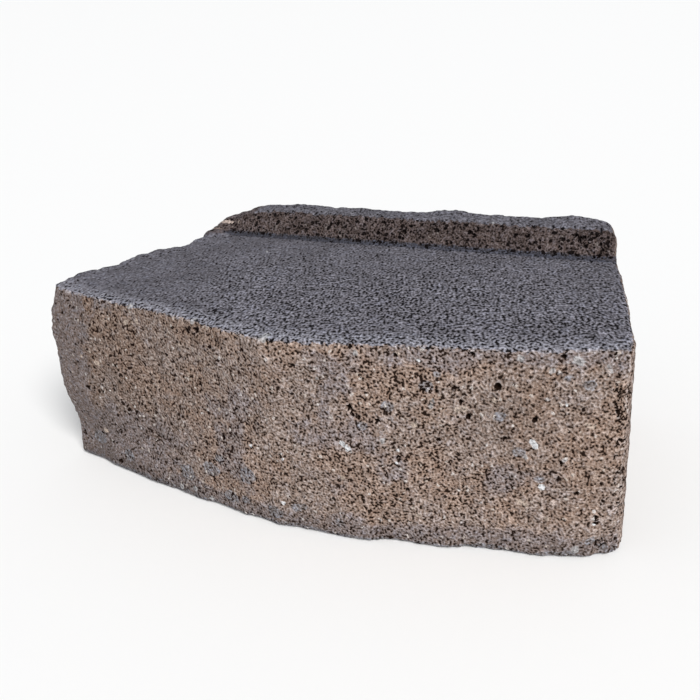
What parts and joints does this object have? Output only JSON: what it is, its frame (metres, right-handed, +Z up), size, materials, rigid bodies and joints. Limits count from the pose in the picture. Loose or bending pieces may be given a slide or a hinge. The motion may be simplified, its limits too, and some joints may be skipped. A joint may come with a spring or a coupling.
{
  "type": "concrete retaining wall block",
  "caption": "Tapered dry-cast concrete wall block with a bowed split face and a locating lip along the back of one bed.",
  "frame": {"origin": "centre of the footprint's box, on the bed that the block lies on", "axes": "+X to the right along the face, +Y from the split face to the back with the lip, +Z up, out of the bed that carries the lip"},
  "size_m": [0.305, 0.175, 0.1155],
  "materials": {
    "concrete": "rough split and pressed concrete, tan-brown on the split face and grey on the beds"
  },
  "bodies": {
    "root": {"wall_block": "concrete"}
  },
  "joints": []
}
